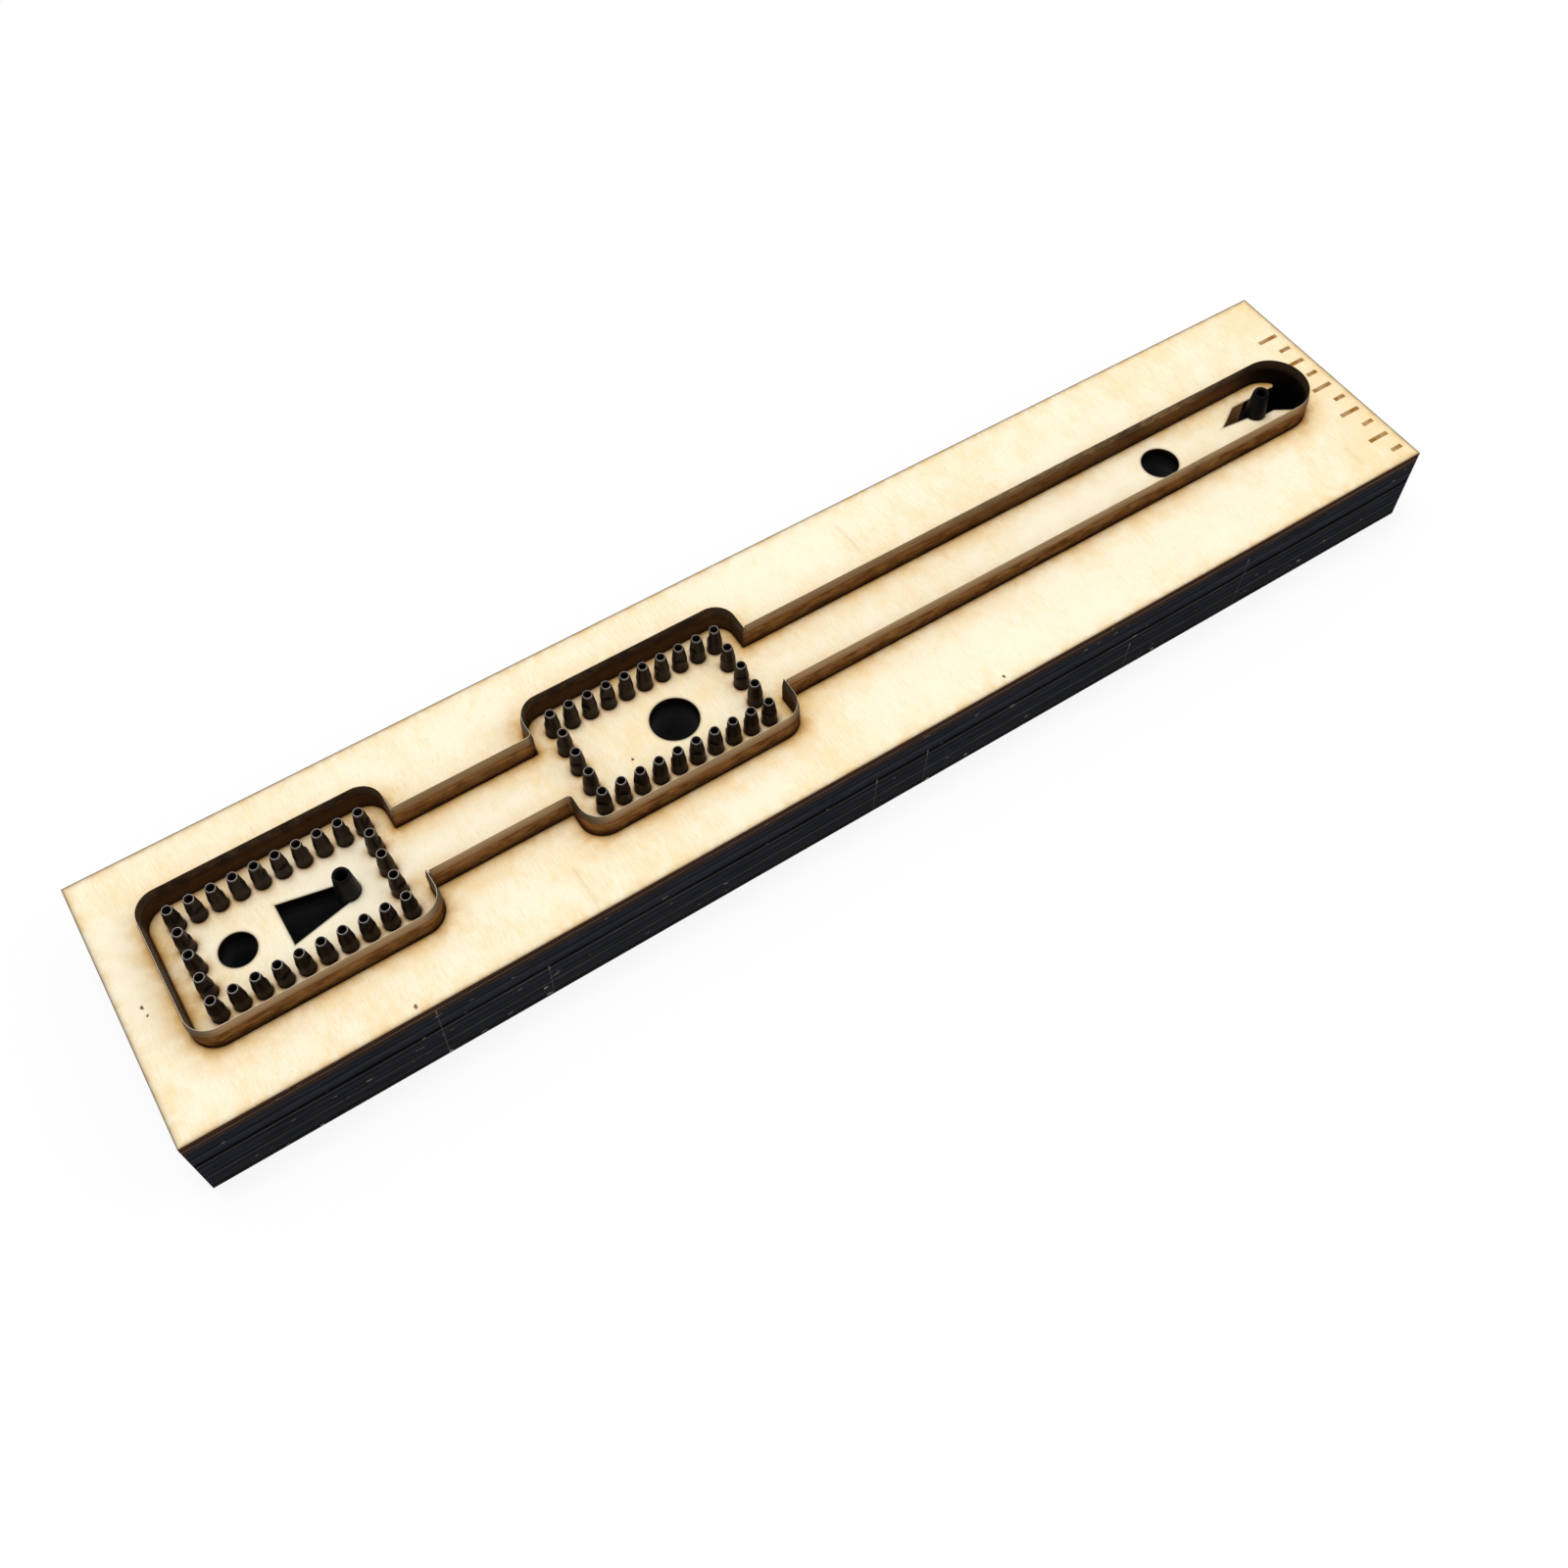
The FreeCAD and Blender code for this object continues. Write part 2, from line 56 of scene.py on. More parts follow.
class Wire:
    """A socket of a material's nodes, so that its maths reads as an expression."""

    def __init__(self, tree, socket=None):
        self.tree = tree
        self.socket = socket

    def node(self, kind, settings, inputs, output=0):
        """Add a node, with its settings made first and its sockets filled after."""
        made = self.tree.nodes.new("ShaderNode" + kind)
        for name, value in settings.items():
            if name == "stops":
                ramp = made.color_ramp
                while len(ramp.elements) < len(value):
                    ramp.elements.new(1.0)
                for element, (position, colour) in zip(ramp.elements, value):
                    element.position = position
                    element.color = (*colour, 1.0)
            else:
                setattr(made, name, value)
        for name, value in inputs.items():
            if isinstance(value, Wire):
                self.tree.links.new(value.socket, made.inputs[name])
            elif hasattr(value, "__len__") and made.inputs[name].type == "RGBA":
                made.inputs[name].default_value = (*value, 1.0)
            else:
                made.inputs[name].default_value = value
        return Wire(self.tree, made.outputs[output])

    def maths(self, operation, *others):
        values = dict(enumerate((self, *others)))
        return self.node("Math", {"operation": operation}, values)

    def __add__(self, other):
        return self.maths("ADD", other)

    def __sub__(self, other):
        return self.maths("SUBTRACT", other)

    def __mul__(self, other):
        return self.maths("MULTIPLY", other)

    def __truediv__(self, other):
        return self.maths("DIVIDE", other)

    def __rsub__(self, other):
        return self.node("Math", {"operation": "SUBTRACT"}, {0: other, 1: self})

    def __neg__(self):
        return self * -1.0

    def __abs__(self):
        return self.maths("ABSOLUTE")

    def __gt__(self, other):
        return self.maths("GREATER_THAN", other)

    def __lt__(self, other):
        return self.maths("LESS_THAN", other)

    __radd__ = __add__
    __rmul__ = __mul__


def least(first, *others):
    for other in others:
        first = first.maths("MINIMUM", other)
    return first


def most(first, *others):
    for other in others:
        first = first.maths("MAXIMUM", other)
    return first


def rise(wire, low, high):
    """0 below low, 1 above high and a smooth step between."""
    inputs = {"Value": wire, "From Min": low, "From Max": high}
    return wire.node("MapRange", {"interpolation_type": "SMOOTHSTEP"}, inputs)


def fade(distance, reach):
    """1 at no distance, dying away over a reach."""
    return (-distance / reach).maths("EXPONENT")


def apart(across, along):
    """The distance of two offsets that are square to each other."""
    return (across * across + along * along).maths("SQRT")


def blend(factor, low, high):
    """One colour turning into another by a factor."""
    settings = {"data_type": "RGBA", "clamp_factor": True}
    return factor.node("Mix", settings, {0: factor, 6: low, 7: high}, 2)


def shade(colour, strength):
    """A colour made lighter or darker by a number."""
    grey = strength.node("CombineXYZ", {}, {"X": strength, "Y": strength, "Z": strength})
    return strength.node("VectorMath", {"operation": "MULTIPLY"}, {0: colour, 1: grey})


def start_material(name):
    """A new material, its shader, and its x, y, z on the object in millimetres."""
    material = bpy.data.materials.new(name)
    material.use_nodes = True
    tree = material.node_tree
    shader = tree.nodes["Principled BSDF"]
    wire = Wire(tree)
    place = wire.node("TexCoord", {}, {}, "Object")
    place = wire.node("VectorMath", {"operation": "SCALE"}, {0: place, "Scale": 1 / MM})
    axes = [wire.node("SeparateXYZ", {}, {0: place}, axis) for axis in "XYZ"]
    return material, shader, axes


def noise(x, y, z, scale, detail=2.0, roughness=0.5):
    """Noise with its own scale, in cells per millimetre, along each axis."""
    parts = {axis: value * size for axis, value, size in zip("XYZ", (x, y, z), scale)}
    place = x.node("CombineXYZ", {}, parts)
    inputs = {"Vector": place, "Scale": 1.0, "Detail": detail, "Roughness": roughness}
    return x.node("TexNoise", {}, inputs)


def link(shader, socket, wire):
    wire.tree.links.new(wire.socket, shader.inputs[socket])


def middle(node):
    low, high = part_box(node)
    return [(a + b) / 2 / MM for a, b in zip(low, high)]


def extent(node):
    low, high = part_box(node)
    return [a / MM for a in low], [a / MM for a in high]


_, board_high = extent("die_board")
panel_low, panel_high = extent("panel_rule")
_, side_high = extent("far_side_rule")
_, strap_high = extent("strap_rule")
panel_half_x = (panel_high[0] - panel_low[0]) / 2 - RULE_HALF
panel_half_y = panel_high[1] - RULE_HALF
panel_1_x = (panel_low[0] + panel_high[0]) / 2
panel_2_x = side_high[0] - RULE_HALF - panel_half_x
strap_half = strap_high[1] - RULE_HALF
strap_start = panel_2_x + panel_half_x
strap_centre = strap_high[0] - RULE_HALF - strap_half
first_punch = middle("stitch_punch_1_01")
stitch_x = middle("stitch_punch_1_06")[0] - first_punch[0]
stitch_y = middle("stitch_punch_1_02")[1] - first_punch[1]
openings = {o["name"]: o["box_m"] for o in frame["record"]["physics"]["openings"]}
hole_x = {}
for name in HOLE_RADII:
    hole_low, hole_high = openings[name]
    hole_x[name] = (hole_low[0] + hole_high[0]) / 2 / MM


def panel_distance(x, y_side):
    """Distance to the nearer panel's rule, which is open where the strap meets it."""
    second = x > (panel_1_x + panel_2_x) / 2
    from_middle = x - panel_1_x - second * (panel_2_x - panel_1_x)
    over_x = abs(from_middle) - (panel_half_x - CORNER_RADIUS)
    over_y = y_side - (panel_half_y - CORNER_RADIUS)
    outside = apart(most(over_x, 0.0), most(over_y, 0.0))
    outline = abs(outside + least(most(over_x, over_y), 0.0) - CORNER_RADIUS)
    mouth = apart(abs(from_middle) - panel_half_x, strap_half - y_side)
    has_mouth = most(second, from_middle > 0.0) * (y_side < strap_half)
    return outline + has_mouth * (mouth - outline)


def strap_distance(x, y_side):
    """Distance to the rules along the strap, round its tip and between the panels."""
    bridge_start = panel_1_x + panel_half_x
    bridge_end = panel_2_x - panel_half_x
    bridge_middle = (bridge_start + bridge_end) / 2
    beyond = most(abs(x - bridge_middle) - (bridge_end - bridge_start) / 2, 0.0)
    bridge = apart(beyond, y_side - strap_half)
    tip = abs(apart(most(x - strap_centre, 0.0), y_side) - strap_half)
    before = most(strap_start - x, 0.0)
    strap = apart(before, tip)
    return least(bridge, strap)


def pocket_distance(x, y):
    """Distance to the wall of the nearest stitch punch's pocket."""
    second = x > (panel_1_x + panel_2_x) / 2
    columns = (x - first_punch[0] - second * (panel_2_x - panel_1_x)) / stitch_x
    rows = (y - first_punch[1]) / stitch_y
    last_column = round((panel_1_x - first_punch[0]) * 2 / stitch_x)
    last_row = round(-first_punch[1] * 2 / stitch_y)
    column = least(most(columns.maths("ROUND"), 0.0), float(last_column))
    row = least(most(rows.maths("ROUND"), 0.0), float(last_row))
    end_column = (columns > last_column / 2) * last_column
    end_row = (rows > last_row / 2) * last_row
    from_end = apart((columns - end_column) * stitch_x, (rows - row) * stitch_y)
    from_side = apart((columns - column) * stitch_x, (rows - end_row) * stitch_y)
    return least(from_end, from_side) - POCKET_RADIUS


def hole_distance(x, y):
    """Distance to the wall of the nearest ejection hole or rivet punch pocket."""
    rounds = [(hole_x[name], radius) for name, radius in HOLE_RADII.items()]
    rounds += [(panel_punch_x, RIVET_POCKET_RADIUS), (strap_punch_x, RIVET_POCKET_RADIUS)]
    return least(*[apart(x - place, y) - radius for place, radius in rounds])


def cut_distance(x, y, corners):
    """Distance outside a straight-sided cut, its corners listed anticlockwise."""
    sides = []
    for start, end in zip(corners, corners[1:] + corners[:1]):
        length = math.dist(start, end)
        across = ((end[1] - start[1]) / length, (start[0] - end[0]) / length)
        sides.append((x - start[0]) * across[0] + (y - start[1]) * across[1])
    return most(*sides)


panel_punch_x = middle("rivet_punch_panel")[0]
strap_punch_x = middle("rivet_punch_strap")[0]
relief_left = panel_punch_x - RELIEF_LENGTH
RELIEF_CUT = [
    (relief_left, -RELIEF_WIDE_END / 2),
    (panel_punch_x, -RELIEF_NARROW_END / 2),
    (panel_punch_x, RELIEF_NARROW_END / 2),
    (relief_left, RELIEF_WIDE_END / 2),
]
flare_x = strap_punch_x + FLARE_START
END_BAND = [
    (strap_punch_x, -END_OPENING_NEAR),
    (flare_x, -END_OPENING_NEAR),
    (flare_x, END_OPENING_FAR),
    (strap_punch_x, END_OPENING_FAR),
]
END_FLARE = [
    (flare_x, -END_OPENING_NEAR),
    (flare_x + FLARE_LENGTH, -END_OPENING_FAR),
    (strap_high[0], -END_OPENING_FAR),
    (strap_high[0], END_OPENING_FAR),
    (flare_x, END_OPENING_FAR),
]
END_SPUR = [
    (strap_punch_x - SPUR_LENGTH, SPUR_RISE),
    (strap_punch_x, -SPUR_DROP),
    (strap_punch_x, END_OPENING_FAR),
    (strap_punch_x - SPUR_SHOULDER, END_OPENING_FAR),
]
tongue_x = strap_high[0] - RULE_HALF - TONGUE_FROM_TIP

PALE_VENEER = (0.95, 0.87, 0.67)
DEEP_VENEER = (0.92, 0.74, 0.45)
FLECK = (0.60, 0.40, 0.19)
KNOT = (0.13, 0.06, 0.02)
PALE_AMBER = (0.79, 0.50, 0.17)
AMBER = (0.56, 0.28, 0.065)
BURNT = (0.05, 0.020, 0.008)
TICK_BROWN = (0.30, 0.13, 0.02)
BLACK = (0.0055, 0.0050, 0.0055)
DEEP_GREY = (0.075, 0.077, 0.082)
# Bright brown for the spur's far wall: its own char brown, brightened as painted light.
SPUR_LIT_BROWN = (0.90, 0.45, 0.17)
CHIP = (0.42, 0.36, 0.27)

# The plies of the charred outer walls, each with its depth below the top.
# Their dark and brown bands are the char's own colour; their faint blue-grey is a painted
# sheen, since the walls have no specular.
WALL_PLIES = [
    (0.0, (0.046, 0.022, 0.014)),
    (1.2, (0.034, 0.018, 0.013)),
    (1.55, (0.105, 0.066, 0.044)),
    (1.9, (0.014, 0.009, 0.008)),
    (2.5, (0.040, 0.026, 0.021)),
    (3.1, (0.013, 0.014, 0.017)),
    (4.2, (0.019, 0.021, 0.027)),
    (5.0, (0.009, 0.009, 0.011)),
    (5.4, (0.024, 0.026, 0.031)),
    (7.2, (0.016, 0.017, 0.022)),
    (7.7, (0.003, 0.003, 0.0035)),
    (8.2, (0.003, 0.003, 0.0035)),
    (8.7, (0.040, 0.040, 0.042)),
    (9.3, (0.005, 0.005, 0.006)),
    (9.8, (0.021, 0.022, 0.027)),
    (11.6, (0.012, 0.013, 0.017)),
    (12.3, (0.024, 0.025, 0.030)),
    (12.7, (0.005, 0.005, 0.006)),
    (13.4, (0.034, 0.034, 0.037)),
    (14.0, (0.014, 0.015, 0.019)),
    (16.6, (0.020, 0.021, 0.025)),
    (17.0, (0.008, 0.007, 0.007)),
    (17.7, (0.026, 0.018, 0.014)),
]

# The main knots as (x, y, radius), and the grain lines as (x, first y, last y).
KNOTS = [
    (-122.9, -1.2, 0.35),
    (-122.6, -2.8, 0.22),
    (-87.4, -24.0, 0.42),
    (-36.9, -3.1, 0.26),
    (26.5, -23.8, 0.26),
]
GRAIN_LINES = [(-55.2, -14.9, -25.5), (115.2, -15.9, -22.3), (21.0, 22.0, 12.5)]
GRAIN_LINE_WIDTH = 0.40

# The near wall's scratches as (x, height of the top), and its chips as (x, height).
WALL_SCRATCHES = [
    (-85.0, 16.4),
    (-66.0, 10.4),
    (-1.4, 10.6),
    (9.5, 10.8),
    (56.0, 8.0),
    (83.6, 14.3),
]
WALL_CHIPS = [
    (-85.4, 0.5),
    (-67.5, 3.6),
    (-67.2, 0.9),
    (10.1, 0.4),
    (18.6, 1.3),
    (62.8, 0.9),
    (100.0, 2.5),
    (-108.2, 0.4),
]
SCRATCH_WIDTH = 0.06
SCRATCH_LEAN = 0.04
SCRATCH_BRIGHT_FROM = 2.2
SCRATCH_BRIGHT_TO = 0.4

# Plain graduation marks, every second one of them long.
TICK_PITCH = 4.0
TICK_HALF_WIDTH = 0.45
TICK_HALF_LENGTH = 1.3
TICK_LONGER_BY = 1.0
TICK_BLUR = 0.12
TICK_FIRST_Y = 14.0
TICK_COUNT = 10
TICK_MARGIN = 1.6

# How fine each kind of mottling is, in cells per millimetre along x, y and z.
CLOUD_CELLS = (0.03, 0.04, 0.03)
MOTTLE_CELLS = (0.22, 0.13, 0.1)
FIBRE_CELLS = (3.4, 0.35, 1.0)
FLECK_CELLS = (3.0, 1.1, 1.0)
WANDER_CELLS = (0.1, 0.3, 0.1)
GRIT_CELLS = (1.6, 1.6, 1.6)
DWELL_CELLS = (0.12, 0.12, 0.12)
PATCH_CELLS = (0.40, 0.40, 0.40)
STREAK_CELLS = (0.03, 0.03, 1.2)
FINE_CELLS = (0.12, 0.12, 6.0)
CHIP_CELLS = (0.30, 0.30, 1.4)

# How far the scorch reaches from a cut, a corner or the board's edge.
HALO_REACH = 1.2
HALO_DWELL = 1.5
HALO_PATCH = 0.9
HALO_FADES_FROM = 3.0
HALO_ENDS = 7.0
AMBER_REACH = 0.85
AMBER_PATCH = 0.9
CORNER_DWELL = 4.5
CORNER_AMBER = 3.0
TIP_CORNER_SHIFT = 3.0
BURNT_RIM = 0.18
EDGE_HALO = 1.3
EDGE_RIM = 0.32
# How far from the right end the veneer is painted deeper, as painted shade.
RIGHT_END_SHADE_LENGTH = 60.0

# Depths below the top of the board, and heights of the bump.
RIM_DEPTH = 0.35
GREYER_FROM = 1.0
GREYER_FULL = 6.0
# Where the spur's painted light fades into painted shade, and the y past which it is painted.
SPUR_LIGHT_TO = 5.0
SPUR_SHADE_FROM = 12.0
SPUR_LIGHT_Y = 1.0
PLY_WAVE = 0.9
FIBRE_BUMP = 0.015
KERF_SINK = 0.03
TICK_SINK = 0.10
STREAK_BUMP = 0.20
FINE_BUMP = 0.06


def tick_mask(x, y):
    """1 on the graduation marks burnt along the board's right end."""
    steps = (TICK_FIRST_Y - y) / TICK_PITCH
    number = least(most(steps.maths("ROUND"), 0.0), float(TICK_COUNT - 1))
    off_line = abs(steps - number) * TICK_PITCH - TICK_HALF_WIDTH
    long_mark = (number / 2.0).maths("FRACT") < 0.25
    half_length = TICK_HALF_LENGTH + long_mark * TICK_LONGER_BY
    off_end = abs(x - (board_high[0] - TICK_MARGIN - half_length)) - half_length
    return 1.0 - rise(most(off_line, off_end), -TICK_BLUR, TICK_BLUR)


def bare_veneer(x, y, z, fibre, grit):
    """Birch as it is before the laser, with clouds, flecks, grain lines and knots, and painted
    shade towards the right end.
    """
    on_top = z > BOARD_THICKNESS / 2
    cloud = noise(x, y, z, CLOUD_CELLS, 3.0)
    mottle = noise(x, y, z, MOTTLE_CELLS, 5.0, 0.7)
    fleck = rise(noise(x, y, z, FLECK_CELLS, 2.0, 0.6), 0.60, 0.74)
    tone = cloud * 0.36 + mottle * 0.30 + fibre * 0.34
    # Towards the right end the veneer is painted a deeper tone, as painted shade.
    right_end_shade = rise(x, board_high[0] - RIGHT_END_SHADE_LENGTH, board_high[0]) * 0.06
    veneer = blend(rise(tone - right_end_shade, 0.38, 0.57), DEEP_VENEER, PALE_VENEER)
    veneer = blend(fleck * 0.28, veneer, FLECK)
    wander = (noise(x, y, z, WANDER_CELLS, 2.0) - 0.5) * 2.0
    for place, start, end in GRAIN_LINES:
        reach = abs(start - end) / 2
        along = 1.0 - rise(abs(y - (start + end) / 2), reach * 0.6, reach)
        line = fade(abs(x - place + wander), GRAIN_LINE_WIDTH) * along
        veneer = blend(line * (fibre * 1.4 - 0.35), veneer, FLECK)
    for place_x, place_y, radius in KNOTS:
        knot = apart(x - place_x, (y - place_y) * 0.7) + grit
        within = (1.0 - rise(knot, radius * 0.6, radius * 1.1)) * on_top
        veneer = blend(within, veneer, KNOT)
    return veneer


def opening_distance(x, y):
    """Distance outside the nearest ejection hole or open cut."""
    opening = least(hole_distance(x, y), cut_distance(x, y, RELIEF_CUT))
    for corners in (END_BAND, END_FLARE, END_SPUR):
        opening = least(opening, cut_distance(x, y, corners))
    within_tip = apart(x - strap_centre, y) - strap_half
    opening = least(opening, most(tongue_x - x, within_tip))
    return most(opening, 0.0)


def scorched(veneer, x, y, z, rule, border, ticks):
    """Veneer scorched beside the cuts, most at the corners, where the beam dwells."""
    y_side = abs(y)
    second = x > (panel_1_x + panel_2_x) / 2
    from_middle = x - panel_1_x - second * (panel_2_x - panel_1_x)
    over_x = abs(from_middle) - panel_half_x
    corner = least(apart(over_x, y_side - panel_half_y), apart(over_x, y_side - strap_half))
    tip_corner = apart(x - strap_centre - TIP_CORNER_SHIFT, y) - strap_half
    corner = least(corner, most(tip_corner, 0.0))
    dwell = rise(noise(x, y, z, DWELL_CELLS, 3.0, 0.6), 0.38, 0.62)
    dwell = least(dwell * 0.75 + fade(corner, CORNER_DWELL) * 0.7, 1.0)
    patch = rise(noise(x, y, z, PATCH_CELLS, 3.0, 0.6), 0.36, 0.64)
    pocket = most(pocket_distance(x, y), 0.0)
    opening = opening_distance(x, y)

    halo = fade(rule, HALO_REACH + dwell * HALO_DWELL + patch * HALO_PATCH)
    halo = halo * (1.0 - rise(rule, HALO_FADES_FROM, HALO_ENDS))
    veneer = blend(halo * (0.58 + dwell * 0.36), veneer, PALE_AMBER)
    amber_reach = AMBER_REACH + fade(corner, CORNER_AMBER) * patch * AMBER_PATCH
    amber = fade(least(rule, pocket), amber_reach) * (0.30 + patch * 0.52 + dwell * 0.15)
    veneer = blend(amber, veneer, AMBER)
    veneer = blend(fade(least(rule, pocket, opening), BURNT_RIM), veneer, BURNT)
    veneer = blend(fade(border, EDGE_HALO) * (0.15 + patch * 0.6), veneer, PALE_AMBER)
    veneer = blend(fade(border, EDGE_RIM), veneer, BURNT)
    return blend(ticks * (0.75 + patch * 0.25), veneer, TICK_BROWN)


def charred_wall(x, y, z, streak, fine, grit):
    """An outer wall, its plies showing as uneven lengthwise lines."""
    wavy = board_high[2] - z + (streak - 0.5) * PLY_WAVE
    stops = [(stop / BOARD_THICKNESS, colour) for stop, colour in WALL_PLIES]
    char = wavy.node("ValToRGB", {"stops": stops}, {"Fac": wavy / BOARD_THICKNESS})
    char = shade(char, streak * 0.8 + rise(fine, 0.3, 0.7) * 0.9 + 0.25)
    on_near = y < 0.0
    for place, top in WALL_SCRATCHES:
        off_line = abs(x - place - (z - top) * SCRATCH_LEAN + grit * 0.2)
        scratch = fade(off_line, SCRATCH_WIDTH) * rise(top - z, 0.0, 0.3) * on_near
        bright = rise(z, top - SCRATCH_BRIGHT_FROM, top - SCRATCH_BRIGHT_TO)
        char = blend(scratch * (0.15 + bright * 0.5), char, CHIP)
    for place, height in WALL_CHIPS:
        chip = apart((x - place) * 0.6, z - height) + grit
        char = blend((1.0 - rise(chip, 0.2, 0.35)) * on_near * 0.6, char, CHIP)
    chips = noise(x, y, z, CHIP_CELLS, 2.0) + fade(most(z, 0.0), 0.8) * 0.03
    return blend(rise(chips, 0.73, 0.76) * 0.5, char, CHIP)


def sooted_cut(x, y, z, fine):
    """The wall of a cut: soot black below a burnt rim, and greyer deep down."""
    depth = board_high[2] - z
    soot_stain_and_shade = blend(rise(depth, GREYER_FROM, GREYER_FULL), BLACK, DEEP_GREY)
    soot_stain_and_shade = blend(fade(most(depth, 0.0), RIM_DEPTH), soot_stain_and_shade, BURNT)
    # The spur's far wall is painted bright brown near the top, its char brown brightened as
    # painted light, fading to black deeper down as painted shade.
    spur = 1.0 - rise(cut_distance(x, y, END_SPUR), 0.05, 0.2)
    spur_light = spur * (y > SPUR_LIGHT_Y) * (0.5 + fine * 0.8)
    spur_light = spur_light * (1.0 - rise(depth, SPUR_LIGHT_TO, SPUR_SHADE_FROM))
    return blend(spur_light, soot_stain_and_shade, SPUR_LIT_BROWN)


def plywood():
    material, shader, (x, y, z) = start_material("scorched_birch_plywood")
    y_side = abs(y)
    fibre = noise(x, y, z, FIBRE_CELLS, 4.0, 0.7)
    grit = (noise(x, y, z, GRIT_CELLS, 2.0) - 0.5) * 0.7
    streak = noise(x, y, z, STREAK_CELLS, 4.0, 0.65)
    fine = noise(x, y, z, FINE_CELLS, 3.0, 0.6)
    nearest = least(panel_distance(x, y_side), strap_distance(x, y_side))
    rule = most(nearest - RULE_HALF, 0.0)
    border = least(board_high[0] - abs(x), board_high[1] - y_side)
    ticks = tick_mask(x, y) * (z > BOARD_THICKNESS / 2)

    veneer = bare_veneer(x, y, z, fibre, grit)
    veneer = scorched(veneer, x, y, z, rule, border, ticks)
    outer_wall = charred_wall(x, y, z, streak, fine, grit)
    inside = rise(border, 0.2, 0.6)
    char = blend(inside, outer_wall, sooted_cut(x, y, z, fine))

    # A surface that stands upright is a wall, and one that lies level is veneer.
    normal = x.node("NewGeometry", {}, {}, "True Normal")
    up = x.node("SeparateXYZ", {}, {0: normal}, "Z")
    wall = 1.0 - rise(abs(up), 0.3, 0.7)
    link(shader, "Base Color", blend(wall, veneer, char))
    flat_roughness = 0.62 + fibre * 0.15
    wall_roughness = 0.42 + fine * 0.25
    link(shader, "Roughness", flat_roughness + wall * (wall_roughness - flat_roughness))
    shader.inputs["Specular IOR Level"].default_value = 0.0
    flat_height = fibre * FIBRE_BUMP - fade(rule, 0.3) * KERF_SINK - ticks * TICK_SINK
    wall_height = streak * STREAK_BUMP + fine * FINE_BUMP
    height = flat_height + wall * (wall_height - flat_height)
    bump = x.node("Bump", {}, {"Strength": 1.0, "Distance": MM, "Height": height})
    link(shader, "Normal", bump)
    return material


def dress(node, material):
    mesh = frame["nodes"][node].data
    mesh.materials.clear()
    mesh.materials.append(material)


dress("die_board", plywood())

# Steel rule: hardened strip about 0.7 mm thick, bent to the outline and pushed
# into the kerfs. Its body is brown from tempering, and its bevel is ground.

RULE_BODY = (0.33, 0.19, 0.085)
RULE_DARK = (0.115, 0.058, 0.024)
# Dark brown for the painted shade on the inner faces, and for a stain on the near outer face.
RULE_SHADE_AND_STAIN = (0.050, 0.028, 0.016)
RULE_GROUND = (0.32, 0.24, 0.16)
RULE_GROUND_LOW = (0.24, 0.155, 0.090)
RULE_EDGE = (0.46, 0.39, 0.30)
BEVEL_DEPTH = 1.9
EDGE_DEPTH = 0.22
FOOT_SHADE = 1.6
ROLL_CELLS = (0.10, 0.10, 5.0)
BLOTCH_CELLS = (0.30, 0.30, 0.6)

# Where along the board the rule is stained, and where its inner faces are painted dark as
# painted shade.
STAIN_X = 84.5
STAIN_REACH = 1.2
STRAP_SHADE_FROM_X = 10.0
STRAP_SHADE_FULL_X = 80.0
TIP_SHADE_LENGTH = 10.0
TIP_SHADOW_FROM = 6.0
TIP_SHADOW_FULL = 3.0


